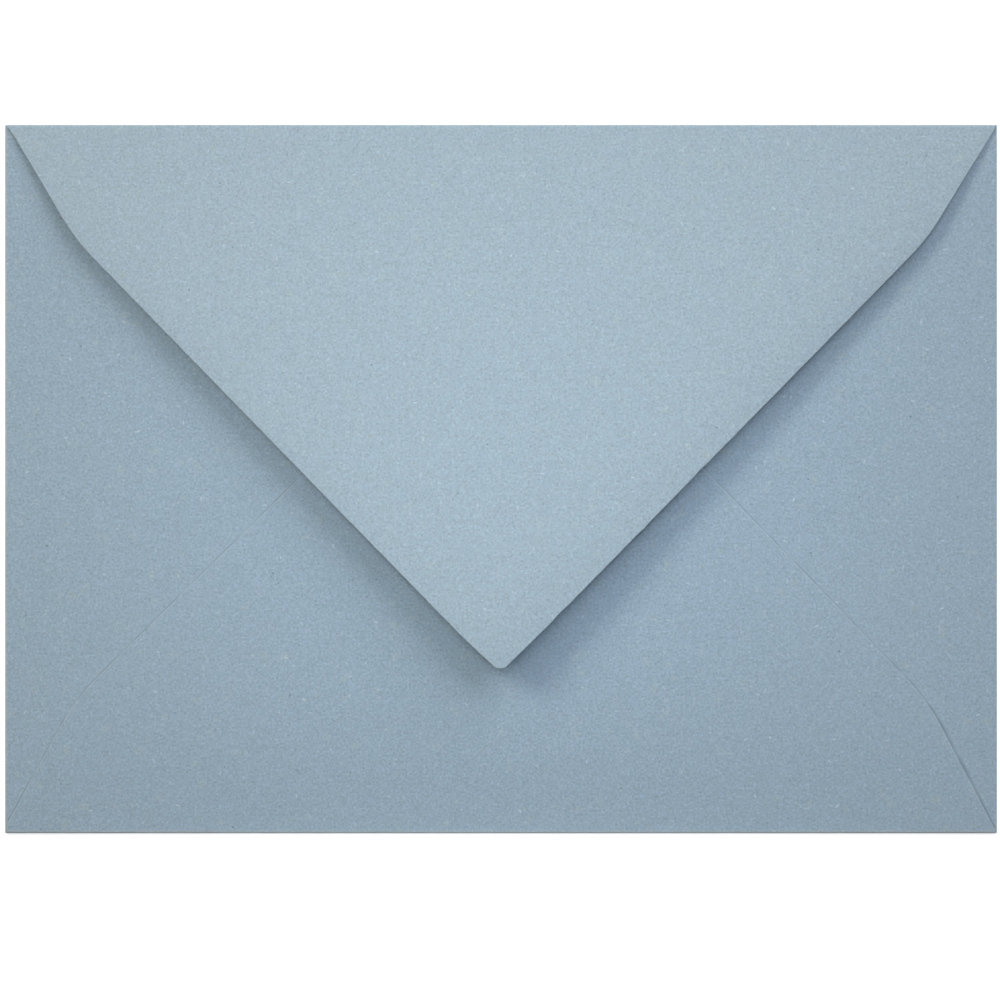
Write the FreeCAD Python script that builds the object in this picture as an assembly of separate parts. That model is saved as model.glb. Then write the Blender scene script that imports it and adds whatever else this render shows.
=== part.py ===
import FreeCAD, Part
import math
import os

from FreeCAD import Vector

# A diamond-flap letter envelope, folded from one die-cut sheet of recycled paper.
# It lies on its front panel with the flap side up: X runs along its width,
# Y towards the fold of the seal flap, Z up from the surface that it lies on.
# All lengths are in millimetres and all angles in degrees.

# Format of the closed envelope
ENVELOPE_WIDTH = 175.0
ENVELOPE_HEIGHT = 125.0

# The sheet and the spaces between its layers
PAPER_THICKNESS = 0.16
POCKET_GAP = 0.30
GLUE_THICKNESS = 0.10
SEAL_FLAP_CLEARANCE = 0.12

# Seal flap: its cut edge, measured from the envelope's top corners, and its blunt tip
SEAL_ROOT_INSET_LEFT = 0.53
SEAL_ROOT_INSET_RIGHT = 0.0
SEAL_SHOULDER_IN = 12.6
SEAL_SHOULDER_DOWN = 20.35
SEAL_SHOULDER_RADIUS = 38.0
SEAL_EDGE_ANGLE_LEFT = 45.7
SEAL_EDGE_ANGLE_RIGHT = 45.5
SEAL_TIP_WIDTH = 2.2
SEAL_TIP_RADIUS = 1.0

# Seal flap: how far it springs open, at its fold and at its tip
SEAL_LIFT_ANGLE = 9.0
SEAL_TIP_ANGLE = 2.0

# Bottom flap: its cut edge, measured from the envelope's bottom corners. Past a
# negative inset, the flap stays as wide as its fold for a short way.
BOTTOM_ROOT_INSET_LEFT = -0.6
BOTTOM_ROOT_INSET_RIGHT = 0.0
BOTTOM_SHOULDER_IN = 12.4
BOTTOM_SHOULDER_UP = 23.7
BOTTOM_SHOULDER_RADIUS = 38.0
BOTTOM_EDGE_ANGLE_LEFT = 44.6
BOTTOM_EDGE_ANGLE_RIGHT = 45.9
BOTTOM_TIP_RADIUS = 40.0

# Side flaps: their cut edges, measured from the envelope's corners, and how far their
# folds stop short of the corners
SIDE_ROOT_INSET = 0.0
SIDE_FOLD_SETBACK = 0.05
SIDE_SHOULDER_IN = 20.4
SIDE_SHOULDER_ALONG = 12.5
SIDE_SHOULDER_RADIUS = 38.0
SIDE_EDGE_ANGLE = 45.0
SIDE_TIP_RADIUS = 10.0

# Glue bands that hold the bottom flap to the side flaps
GLUE_WIDTH = 8.0
GLUE_SETBACK = 1.75
GLUE_BITE = 0.05

# The empty pocket's pillow shape
CROWN_HEIGHT = 2.6
CROWN_EDGE_RUN = 9.0
CROWN_SPANS = 5
CROWN_MOUTH_REACH = 1.25

# Excess of a cutting outline or surface past the paper that it shapes
OVERRUN = 2.0

SURFACE_DEGREE = 3


def fold_radius(layers_height):
    """Outer radius of a fold that closes around layers of the given height."""
    return layers_height / 2


# Heights of the layers, from the surface that the envelope lies on
SIDE_FLAP_Z = PAPER_THICKNESS + POCKET_GAP
BOTTOM_FLAP_Z = SIDE_FLAP_Z + PAPER_THICKNESS + GLUE_THICKNESS

SIDE_FOLD = fold_radius(SIDE_FLAP_Z + PAPER_THICKNESS)
BOTTOM_FOLD = fold_radius(BOTTOM_FLAP_Z + PAPER_THICKNESS)
SEAL_FOLD = fold_radius(BOTTOM_FLAP_Z + PAPER_THICKNESS + SEAL_FLAP_CLEARANCE)

# Limits of the flat front panel, where the folds begin
PANEL_LEFT = -ENVELOPE_WIDTH / 2 + SIDE_FOLD
PANEL_RIGHT = ENVELOPE_WIDTH / 2 - SIDE_FOLD
PANEL_BOTTOM = -ENVELOPE_HEIGHT / 2 + BOTTOM_FOLD
PANEL_TOP = ENVELOPE_HEIGHT / 2 - SEAL_FOLD


class EnvelopeSide:
    """One side of the envelope: places points by their distance along and in from it."""

    def __init__(self, middle, along, inward, half_length):
        self.middle = middle
        self.along = along
        self.inward = inward
        self.half_length = half_length

    def at(self, along, inward, up=0.0):
        """A point at a distance along the side from its middle, in from it, and up."""
        return self.middle + self.along * along + self.inward * inward + Vector(0, 0, up)


HALF_WIDTH = ENVELOPE_WIDTH / 2
HALF_HEIGHT = ENVELOPE_HEIGHT / 2
TOP = EnvelopeSide(Vector(0, HALF_HEIGHT, 0), Vector(1, 0, 0), Vector(0, -1, 0), HALF_WIDTH)
BOTTOM = EnvelopeSide(Vector(0, -HALF_HEIGHT, 0), Vector(1, 0, 0), Vector(0, 1, 0), HALF_WIDTH)
LEFT = EnvelopeSide(Vector(-HALF_WIDTH, 0, 0), Vector(0, 1, 0), Vector(1, 0, 0), HALF_HEIGHT)
RIGHT = EnvelopeSide(Vector(HALF_WIDTH, 0, 0), Vector(0, 1, 0), Vector(-1, 0, 0), HALF_HEIGHT)


def crossing(point_a, direction_a, point_b, direction_b):
    """The point where two lines in the plan meet."""
    span = point_b - point_a
    turn = direction_a.x * direction_b.y - direction_a.y * direction_b.x
    reach = (span.x * direction_b.y - span.y * direction_b.x) / turn
    return point_a + direction_a * reach


class FlapPlan:
    """Cut edge of a flap in the plan: steep by its fold, then straight to its tip.

    The first cut edge is the one at the negative end of the side, the second
    the one at its positive end. Each has its own inset at the side and its own
    angle past the shoulder. The flap is nowhere wider than its widest reach.
    """

    def __init__(self, side, insets, setback, shoulder_along, shoulder_in, angles, tip_width=0.0):
        self.side = side
        self.insets = insets
        self.widest = side.half_length - setback
        self.shoulder_along = shoulder_along
        self.shoulder_in = shoulder_in
        self.tip_width = tip_width
        self.shoulder_first = side.at(-side.half_length + shoulder_along, shoulder_in)
        self.shoulder_second = side.at(side.half_length - shoulder_along, shoulder_in)
        self.run_first = self.edge_direction(angles[0], 1)
        self.run_second = self.edge_direction(angles[1], -1)
        self.apex = crossing(self.shoulder_first, self.run_first, self.shoulder_second, self.run_second)

    def edge_direction(self, angle, sense):
        """Unit vector along a straight cut edge, from its shoulder to the apex."""
        slope = math.radians(angle)
        return self.side.along * (sense * math.cos(slope)) + self.side.inward * math.sin(slope)

    def depth(self):
        """Depth of the flap from its fold to where its straight edges would meet."""
        return (self.apex - self.side.middle).dot(self.side.inward)

    def slant(self, inset):
        """How much narrower a flap gets on one side for each length in, up to its shoulder."""
        return (self.shoulder_along - inset) / self.shoulder_in

    def reach(self, inset, root_in):
        """Distance from the side's middle to one cut edge, at a distance in from the side."""
        return min(self.widest, self.side.half_length - inset - self.slant(inset) * root_in)

    def root_corners(self, inset, sense, root_in):
        """Corners of one cut edge from the outline's start until it leaves the widest reach."""
        corners = [self.side.at(sense * self.reach(inset, root_in), root_in)]
        leaves_in = (self.side.half_length - inset - self.widest) / self.slant(inset)
        if leaves_in > root_in:
            corners.append(self.side.at(sense * self.widest, leaves_in))
        return corners

    def tip_corners(self):
        """The apex, or the two corners of a blunt tip."""
        if self.tip_width == 0:
            return [self.apex]
        back_first = self.run_first * -1
        back_second = self.run_second * -1
        share = back_second.dot(self.side.inward) / back_first.dot(self.side.inward)
        spread = (back_second - back_first * share).dot(self.side.along)
        run = self.tip_width / spread
        return [self.apex + back_first * share * run, self.apex + back_second * run]

    def outline(self, root_in, shoulder_radius, tip_radius):
        """Closed wire of the flap's rounded cut edge, from a distance in from the side."""
        first = self.root_corners(self.insets[0], -1, root_in)
        second = self.root_corners(self.insets[1], 1, root_in)
        tip = self.tip_corners()
        corners = first + [self.shoulder_first] + tip + [self.shoulder_second] + second[::-1]
        radii = [0] * len(first) + [shoulder_radius] + [tip_radius] * len(tip)
        radii += [shoulder_radius] + [0] * len(second)
        return rounded_outline(corners, radii)

    def cutter(self, root_in, shoulder_radius, tip_radius):
        """Upright prism with the flap's rounded outline."""
        return upright_prism(self.outline(root_in, shoulder_radius, tip_radius))


def rounded_outline(corners, radii):
    """Closed wire through the corners, each one rounded by its radius."""
    starts = []
    ends = []
    middles = []
    for index, corner in enumerate(corners):
        back = (corners[index - 1] - corner).normalize()
        ahead = (corners[(index + 1) % len(corners)] - corner).normalize()
        half_angle = back.getAngle(ahead) / 2
        trim = radii[index] / math.tan(half_angle)
        starts.append(corner + back * trim)
        ends.append(corner + ahead * trim)
        centre_distance = radii[index] / math.sin(half_angle)
        middles.append(corner + (back + ahead).normalize() * (centre_distance - radii[index]))
    edges = []
    for index, radius in enumerate(radii):
        if radius > 0:
            edges.append(Part.Arc(starts[index], middles[index], ends[index]).toShape())
        edges.append(Part.LineSegment(ends[index], starts[(index + 1) % len(corners)]).toShape())
    return Part.Wire(edges)


def upright_prism(outline):
    """Prism over an outline in the plan, taller than the whole envelope."""
    floor = Part.Face(outline)
    floor.translate(Vector(0, 0, -OVERRUN))
    return floor.extrude(Vector(0, 0, ENVELOPE_HEIGHT))


def greville(knots, multiplicities):
    """Places of a spline's poles that make it run evenly along its own axis."""
    flat = []
    for knot, count in zip(knots, multiplicities):
        flat.extend([knot] * count)
    count = len(flat) - SURFACE_DEGREE - 1
    return [sum(flat[i + 1:i + 1 + SURFACE_DEGREE]) / SURFACE_DEGREE for i in range(count)]


def even_knots(start, end, spans):
    """Evenly spaced knots from start to end, both included."""
    return [start + (end - start) * i / spans for i in range(spans + 1)]


class Crown:
    """Pillow shape of the panel that the side and bottom flaps form together.

    It lies level along the two side folds and the bottom fold, arches between
    them, and stays partly open towards the pocket's mouth.
    """

    def __init__(self):
        left_inner = PANEL_LEFT + CROWN_EDGE_RUN
        right_inner = PANEL_RIGHT - CROWN_EDGE_RUN
        bottom_inner = PANEL_BOTTOM + CROWN_EDGE_RUN
        mouth = HALF_HEIGHT + OVERRUN
        middle_x = even_knots(left_inner, right_inner, CROWN_SPANS)
        middle_y = even_knots(bottom_inner, mouth, CROWN_SPANS)
        self.knots_x = [PANEL_LEFT - OVERRUN, PANEL_LEFT] + middle_x + [PANEL_RIGHT, PANEL_RIGHT + OVERRUN]
        self.knots_y = [PANEL_BOTTOM - OVERRUN, PANEL_BOTTOM] + middle_y
        ends = [SURFACE_DEGREE + 1, SURFACE_DEGREE - 1]
        self.mults_x = ends + [1] * len(middle_x) + ends[::-1]
        self.mults_y = ends + [1] * (len(middle_y) - 1) + [SURFACE_DEGREE + 1]

    def share_across(self, x):
        """Share of the crown's height across the width."""
        return 1 - (x / PANEL_RIGHT) ** 2

    def share_up(self, y):
        """Share of the crown's height from the bottom fold to the mouth."""
        reach = -PANEL_BOTTOM if y < 0 else HALF_HEIGHT * CROWN_MOUTH_REACH
        return 1 - (y / reach) ** 2

    def surface(self, base_z):
        """The crowned surface, standing at base_z along its folds."""
        across = greville(self.knots_x, self.mults_x)
        up = greville(self.knots_y, self.mults_y)
        flat = SURFACE_DEGREE + 1
        poles = []
        for i, x in enumerate(across):
            column = []
            for j, y in enumerate(up):
                level = i < flat or i >= len(across) - flat or j < flat
                rise = 0.0 if level else CROWN_HEIGHT * self.share_across(x) * self.share_up(y)
                column.append(Vector(x, y, base_z + rise))
            poles.append(column)
        spline = Part.BSplineSurface()
        spline.buildFromPolesMultsKnots(
            poles, self.mults_x, self.mults_y, self.knots_x, self.knots_y,
            False, False, SURFACE_DEGREE, SURFACE_DEGREE,
        )
        return spline.toShape()

    def layer(self, base_z, thickness):
        """A crowned layer of the given thickness, wider than the envelope."""
        return self.surface(base_z).extrude(Vector(0, 0, thickness))


def fold_arc(side, along, centre, radius, open_angle):
    """Arc round a fold, from the front panel until it still rises by open_angle."""
    points = []
    for turn in (0.0, (180.0 - open_angle) / 2, 180.0 - open_angle):
        swing = math.radians(turn - 90.0)
        inward = centre - radius * math.cos(swing)
        up = centre + radius * math.sin(swing)
        points.append(side.at(along, inward, up))
    return Part.Arc(*points).toShape()


def edge_points(edge):
    """Start and end of an edge."""
    return edge.valueAt(edge.FirstParameter), edge.valueAt(edge.LastParameter)


def fold_strip(side, centre, start, end):
    """Paper bent half round along one side of the front panel."""
    outer = fold_arc(side, start, centre, centre, 0.0)
    inner = fold_arc(side, start, centre, centre - PAPER_THICKNESS, 0.0)
    outer_start, outer_end = edge_points(outer)
    inner_start, inner_end = edge_points(inner)
    section = Part.Wire([
        outer,
        Part.LineSegment(outer_end, inner_end).toShape(),
        inner,
        Part.LineSegment(inner_start, outer_start).toShape(),
    ])
    return Part.Face(section).extrude(side.along * (end - start))


def seal_flap_curve(side, along, depth, start, below):
    """Curve of the seal flap from its fold to past its tip, below its upper face."""
    lift = math.radians(SEAL_LIFT_ANGLE)
    tip = math.radians(SEAL_TIP_ANGLE)
    mean = (lift + tip) / 2
    fold_end_in = SEAL_FOLD * (1 - math.sin(lift))
    fold_end_up = SEAL_FOLD * (1 + math.cos(lift))
    run = (depth - fold_end_in) / 2
    middle_in = fold_end_in + run
    middle_up = fold_end_up + run * math.tan(lift)
    tip_up = middle_up + run * math.tan(tip)
    corner = below / math.cos((lift - tip) / 2)
    middle = side.at(along, middle_in + corner * math.sin(mean), middle_up - corner * math.cos(mean))
    end = side.at(along, depth + below * math.sin(tip), tip_up - below * math.cos(tip))
    curve = Part.BezierCurve()
    curve.setPoles([start, middle, end])
    return curve.toShape()


def seal_flap(plan):
    """The seal flap with its open fold, as one bent strip cut to its outline."""
    side = plan.side
    start = PANEL_LEFT
    depth = plan.depth() + OVERRUN
    outer = fold_arc(side, start, SEAL_FOLD, SEAL_FOLD, SEAL_LIFT_ANGLE)
    inner = fold_arc(side, start, SEAL_FOLD, SEAL_FOLD - PAPER_THICKNESS, SEAL_LIFT_ANGLE)
    outer_start, outer_end = edge_points(outer)
    inner_start, inner_end = edge_points(inner)
    upper = seal_flap_curve(side, start, depth, outer_end, 0.0)
    lower = seal_flap_curve(side, start, depth, inner_end, PAPER_THICKNESS)
    section = Part.Wire([
        outer,
        upper,
        Part.LineSegment(edge_points(upper)[1], edge_points(lower)[1]).toShape(),
        lower,
        inner,
        Part.LineSegment(inner_start, outer_start).toShape(),
    ])
    strip = Part.Face(section).extrude(side.along * (PANEL_RIGHT - PANEL_LEFT))
    return strip.common(plan.cutter(-OVERRUN, SEAL_SHOULDER_RADIUS, SEAL_TIP_RADIUS))


def glue_band(shoulder, run, side_plan, side_run, crown):
    """Glue under one cut edge of the bottom flap, as far as the side flap reaches.

    Args:
        shoulder: shoulder of the bottom flap where the straight edge starts.
        run: direction of that edge, from the shoulder to the apex.
        side_plan: plan of the side flap that the band sticks to.
        side_run: direction of the side flap's upper edge.
        crown: pillow shape of the panel.
    """
    into_flap = Vector(-run.y, run.x, 0)
    if into_flap.y > 0:
        into_flap = into_flap * -1
    line = shoulder + into_flap * GLUE_SETBACK
    end = crossing(line, run, side_plan.shoulder_second, side_run)
    length = (end - line).dot(run) - GLUE_WIDTH
    start = line + run * GLUE_WIDTH
    stop = line + run * length
    corners = [start, stop, stop + into_flap * GLUE_WIDTH, start + into_flap * GLUE_WIDTH]
    footprint = upright_prism(rounded_outline(corners, [0, 0, 0, 0]))
    base = BOTTOM_FLAP_Z - GLUE_THICKNESS - GLUE_BITE
    return crown.layer(base, GLUE_THICKNESS + 2 * GLUE_BITE).common(footprint)


def envelope_sheet():
    """The whole envelope: one sheet, folded on four sides and glued along two seams."""
    crown = Crown()
    seal_plan = FlapPlan(
        TOP, (SEAL_ROOT_INSET_LEFT, SEAL_ROOT_INSET_RIGHT), SIDE_FOLD, SEAL_SHOULDER_IN,
        SEAL_SHOULDER_DOWN, (SEAL_EDGE_ANGLE_LEFT, SEAL_EDGE_ANGLE_RIGHT), SEAL_TIP_WIDTH,
    )
    bottom_plan = FlapPlan(
        BOTTOM, (BOTTOM_ROOT_INSET_LEFT, BOTTOM_ROOT_INSET_RIGHT), SIDE_FOLD,
        BOTTOM_SHOULDER_IN, BOTTOM_SHOULDER_UP, (BOTTOM_EDGE_ANGLE_LEFT, BOTTOM_EDGE_ANGLE_RIGHT),
    )
    side_plans = [
        FlapPlan(
            side, (SIDE_ROOT_INSET, SIDE_ROOT_INSET), BOTTOM_FOLD, SIDE_SHOULDER_ALONG,
            SIDE_SHOULDER_IN, (SIDE_EDGE_ANGLE, SIDE_EDGE_ANGLE),
        )
        for side in (LEFT, RIGHT)
    ]

    front_panel = Part.makeBox(
        PANEL_RIGHT - PANEL_LEFT, PANEL_TOP - PANEL_BOTTOM, PAPER_THICKNESS,
        Vector(PANEL_LEFT, PANEL_BOTTOM, 0),
    )
    pieces = [seal_flap(seal_plan)]

    side_layer = crown.layer(SIDE_FLAP_Z, PAPER_THICKNESS)
    fold_end = HALF_HEIGHT - SIDE_FOLD_SETBACK
    for plan in side_plans:
        cutter = plan.cutter(SIDE_FOLD, SIDE_SHOULDER_RADIUS, SIDE_TIP_RADIUS)
        pieces.append(fold_strip(plan.side, SIDE_FOLD, -fold_end, fold_end))
        pieces.append(side_layer.common(cutter))

    bottom_layer = crown.layer(BOTTOM_FLAP_Z, PAPER_THICKNESS)
    cutter = bottom_plan.cutter(BOTTOM_FOLD, BOTTOM_SHOULDER_RADIUS, BOTTOM_TIP_RADIUS)
    pieces.append(fold_strip(BOTTOM, BOTTOM_FOLD, PANEL_LEFT, PANEL_RIGHT))
    pieces.append(bottom_layer.common(cutter))

    seams = [
        (bottom_plan.shoulder_first, bottom_plan.run_first),
        (bottom_plan.shoulder_second, bottom_plan.run_second),
    ]
    for (shoulder, run), plan in zip(seams, side_plans):
        pieces.append(glue_band(shoulder, run, plan, plan.run_second, crown))

    return front_panel.fuse(pieces)


def main():
    """Build the envelope and write its one solid."""
    os.makedirs("parts", exist_ok=True)
    sheet = envelope_sheet()
    solid = sheet.Solids[0]
    solid.exportStep("parts/envelope_sheet.step")
    print("solids", len(sheet.Solids), "valid", solid.isValid(), "faces", len(solid.Faces))
    print("volume mm3 %.1f" % solid.Volume)


main()
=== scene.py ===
"""A letter envelope of blue-grey recycled paper, closed but not sealed, seen from its flap side."""

import logging
import math
from collections.abc import Callable
from dataclasses import dataclass, field, replace
from enum import Enum

import bmesh
import bpy
import numpy as np
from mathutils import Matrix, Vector


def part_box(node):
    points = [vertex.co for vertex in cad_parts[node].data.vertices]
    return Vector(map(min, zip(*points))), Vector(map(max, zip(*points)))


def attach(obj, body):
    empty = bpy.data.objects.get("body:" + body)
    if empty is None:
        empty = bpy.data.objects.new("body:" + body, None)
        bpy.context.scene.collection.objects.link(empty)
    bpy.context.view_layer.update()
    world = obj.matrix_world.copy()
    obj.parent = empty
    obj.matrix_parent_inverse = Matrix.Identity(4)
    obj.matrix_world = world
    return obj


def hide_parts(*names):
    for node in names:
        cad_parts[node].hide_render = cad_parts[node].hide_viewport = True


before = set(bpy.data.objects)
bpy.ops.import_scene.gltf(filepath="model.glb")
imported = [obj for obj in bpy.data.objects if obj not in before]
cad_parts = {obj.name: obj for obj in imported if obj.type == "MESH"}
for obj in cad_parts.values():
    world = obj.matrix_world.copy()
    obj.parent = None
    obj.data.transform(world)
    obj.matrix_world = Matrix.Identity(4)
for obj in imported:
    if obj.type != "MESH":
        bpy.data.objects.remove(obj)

# The paper's own sizes are in millimetres here, and become metres in its mesh.
MM = 0.001
SHEET_NODE = "envelope_sheet"
REPORT = logging.getLogger("envelope")
# A length in millimetres that is too small to matter.
TINY = 1e-6
# The Mix node's sockets for colours: the second one's share, both colours and the result.
SHARE, FIRST, SECOND, MIXED = 0, 6, 7, 2

Tree = bpy.types.NodeTree
Socket = bpy.types.NodeSocket


def linear(hex_colour: str) -> tuple[float, float, float, float]:
    """Turn a colour written as sRGB hex into linear values for a socket.

    Args:
        hex_colour: six hex digits, with or without a leading hash.

    Returns:
        Red, green and blue as linear light, and an alpha of 1.
    """
    digits = hex_colour.lstrip("#")
    shares = [int(digits[i:i + 2], 16) / 255 for i in (0, 2, 4)]
    light = [s / 12.92 if s <= 0.04045 else ((s + 0.055) / 1.055) ** 2.4 for s in shares]
    return (*light, 1.0)


def add_node(tree: Tree, kind: str, inputs: dict | tuple, **settings: object) -> bpy.types.NodeOutputs:
    """Add a node with its settings, and fill or link its inputs.

    Args:
        tree: the node tree that gets the node.
        kind: the node's type name, after ShaderNode.
        inputs: a value or another node's output socket for each input, by name or number,
            or a tuple of them in order.
        settings: properties of the node, by name.

    Returns:
        The new node's outputs.
    """
    node = tree.nodes.new(f"ShaderNode{kind}")
    for name, value in settings.items():
        setattr(node, name, value)
    for name, value in inputs.items() if isinstance(inputs, dict) else enumerate(inputs):
        if isinstance(value, Socket):
            tree.links.new(value, node.inputs[name])
        else:
            node.inputs[name].default_value = value
    return node.outputs


def cover(tree: Tree, colour: object, layers: list[tuple[Socket, str]]) -> Socket:
    """Lay tints over a colour, one after another.

    Args:
        tree: the material's node tree.
        colour: the colour beneath, or a socket that gives it.
        layers: each tint's share and its colour as sRGB hex, the lowest first.

    Returns:
        The socket that gives the covered colour.
    """
    for share, tint in layers:
        inputs = {SHARE: share, FIRST: colour, SECOND: linear(tint)}
        colour = add_node(tree, "Mix", inputs, data_type="RGBA")[MIXED]
    return colour


def add_material(name: str, surface: Callable[[Tree], Socket]) -> bpy.types.Material:
    """Make a material.

    Args:
        name: the real material's name.
        surface: adds the surface's nodes to an empty node tree and gives their last socket.

    Returns:
        The new material.
    """
    material = bpy.data.materials.new(name)
    material.use_nodes = True
    material.node_tree.nodes.clear()
    add_node(material.node_tree, "OutputMaterial", {"Surface": surface(material.node_tree)})
    return material


def add_object(name: str, data: bpy.types.ID) -> bpy.types.Object:
    """Make an object and put it in the scene.

    Args:
        name: the object's name.
        data: its mesh, lamp or camera.

    Returns:
        The new object.
    """
    made = bpy.data.objects.new(name, data)
    bpy.context.scene.collection.objects.link(made)
    return made


def close_skin(data: bpy.types.Mesh, weld: float) -> None:
    """Weld a mesh's shared points and turn all its faces outwards.

    Args:
        data: the mesh.
        weld: distance in metres within which points are one point.
    """
    skin = bmesh.new()
    skin.from_mesh(data)
    bmesh.ops.remove_doubles(skin, verts=skin.verts, dist=weld)
    bmesh.ops.recalc_face_normals(skin, faces=skin.faces)
    skin.to_mesh(data)
    skin.free()


class Mark(Enum):
    """What the paper's material reads from the sheet, each from 0 to 1 at every point."""

    # Paler cut fibres, with a painted highlight where the raised edge catches the light.
    CUT = "cut_edge"
    # Wear on the folds, with painted light that stands in for light from below.
    WORN_AND_LIT_FOLD = "rubbed_fold"
    # Painted light: how much lighter the seal flap is painted, for the stronger light it catches.
    PAINTED_FLAP_LIGHT = "faded_flap"


@dataclass(frozen=True)
class Format:
    """The closed envelope's format and the paper's layers, in millimetres."""

    width: float
    height: float
    thickness: float = 0.16
    pocket_gap: float = 0.30
    glue_thickness: float = 0.10
    seal_clearance: float = 0.12

    @property
    def side_fold(self) -> float:
        """Outer radius of the two side folds."""
        return (self.pocket_gap + 2 * self.thickness) / 2

    @property
    def bottom_fold(self) -> float:
        """Outer radius of the bottom fold, which closes around the side flaps too."""
        return self.side_fold + (self.thickness + self.glue_thickness) / 2

    @property
    def seal_fold(self) -> float:
        """Outer radius of the fold that the seal flap springs open from."""
        return self.bottom_fold + self.seal_clearance / 2

    @property
    def panel(self) -> tuple[float, float, float, float]:
        """Left, right, bottom and top of the flat front panel, where the folds begin."""
        half_width, half_height = self.width / 2, self.height / 2
        return (
            self.side_fold - half_width,
            half_width - self.side_fold,
            self.bottom_fold - half_height,
            half_height - self.seal_fold,
        )


@dataclass(frozen=True)
class Pillow:
    """The slight arch of the empty pocket: level at its folds, open towards its mouth."""

    paper: Format
    height: float = 2.6
    edge_run: float = 9.0
    spans: int = 5
    mouth_reach: float = 1.25
    overrun: float = 2.0
    degree: int = 3

    def knots(self, start: float, end: float, both_ends: bool) -> np.ndarray:
        """Knots of the arch along one axis, with a level border at its folded ends.

        Args:
            start: place of the first fold.
            end: place of the second fold, or of the mouth.
            both_ends: whether the second end is folded too.

        Returns:
            All knots, the repeated ones included.
        """
        border = [start - self.overrun] * (self.degree + 1) + [start] * (self.degree - 1)
        if both_ends:
            middle = np.linspace(start + self.edge_run, end - self.edge_run, self.spans + 1)
            tail = [end] * (self.degree - 1) + [end + self.overrun] * (self.degree + 1)
            return np.array([*border, *middle, *tail])
        middle = np.linspace(start + self.edge_run, end + self.overrun, self.spans + 1)
        return np.array([*border, *middle, *[end + self.overrun] * self.degree])

    def shares(self, knots: np.ndarray, places: np.ndarray) -> np.ndarray:
        """Share that each pole of a spline has at each place, by the usual recursion.

        Args:
            knots: the spline's knots.
            places: places between the first knot and the last.

        Returns:
            The shares, places by poles.
        """
        inside = np.clip(places, knots[0], knots[-1] - TINY)[:, None]
        basis = ((knots[:-1] <= inside) & (inside < knots[1:])).astype(float)
        for order in range(1, self.degree + 1):
            below, above = knots[:-order - 1], knots[order + 1:]
            rise = np.maximum(knots[order:-1] - below, TINY)
            fall = np.maximum(above - knots[1:-order], TINY)
            basis = (inside - below) / rise * basis[:, :-1] + (above - inside) / fall * basis[:, 1:]
        return basis

    def rise(self, x: np.ndarray, y: np.ndarray) -> np.ndarray:
        """Height of the arch above its folds.

        Args:
            x: places across the envelope.
            y: places up the envelope, as many as x has.

        Returns:
            The rise at each place.
        """
        left, right, bottom, _ = self.paper.panel
        mouth = self.paper.height / 2
        knots_x = self.knots(left, right, True)
        knots_y = self.knots(bottom, mouth, False)
        poles = []
        for knots in (knots_x, knots_y):
            count = len(knots) - self.degree - 1
            poles.append(np.array([knots[i + 1:i + 1 + self.degree].mean() for i in range(count)]))
        across = 1 - (poles[0] / right) ** 2
        reach = np.where(poles[1] < 0, -bottom, mouth * self.mouth_reach)
        up = 1 - (poles[1] / reach) ** 2
        flat = self.degree + 1
        across[:flat] = 0
        across[-flat:] = 0
        up[:flat] = 0
        shape = self.height * np.outer(across, up)
        share_x = self.shares(knots_x, x.ravel())
        share_y = self.shares(knots_y, y.ravel())
        return np.einsum("ni,ij,nj->n", share_x, shape, share_y).reshape(x.shape)


@dataclass(frozen=True)
class Waviness:
    """Gentle unevenness that a sheet keeps from drying, as a few crossing waves."""

    height: float
    shortest: float
    longest: float
    seed: int
    waves: int = 9

    def at(self, x: np.ndarray, y: np.ndarray) -> np.ndarray:
        """Height of the unevenness.

        Args:
            x: places across the envelope.
            y: places up the envelope, as many as x has.

        Returns:
            The height at each place.
        """
        draw = np.random.default_rng(self.seed)
        total = np.zeros_like(x)
        for _ in range(self.waves):
            length = draw.uniform(self.shortest, self.longest)
            turn = draw.uniform(0, math.tau)
            start = draw.uniform(0, math.tau)
            phase = (x * math.cos(turn) + y * math.sin(turn)) * math.tau / length + start
            total += np.sin(phase) * length / self.longest
        return self.height * total / math.sqrt(self.waves)


@dataclass(frozen=True)
class Nick:
    """A small flaw of the die's cut: how far in from the fold, how deep and how wide."""

    inward: float
    depth: float
    half_width: float


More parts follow.
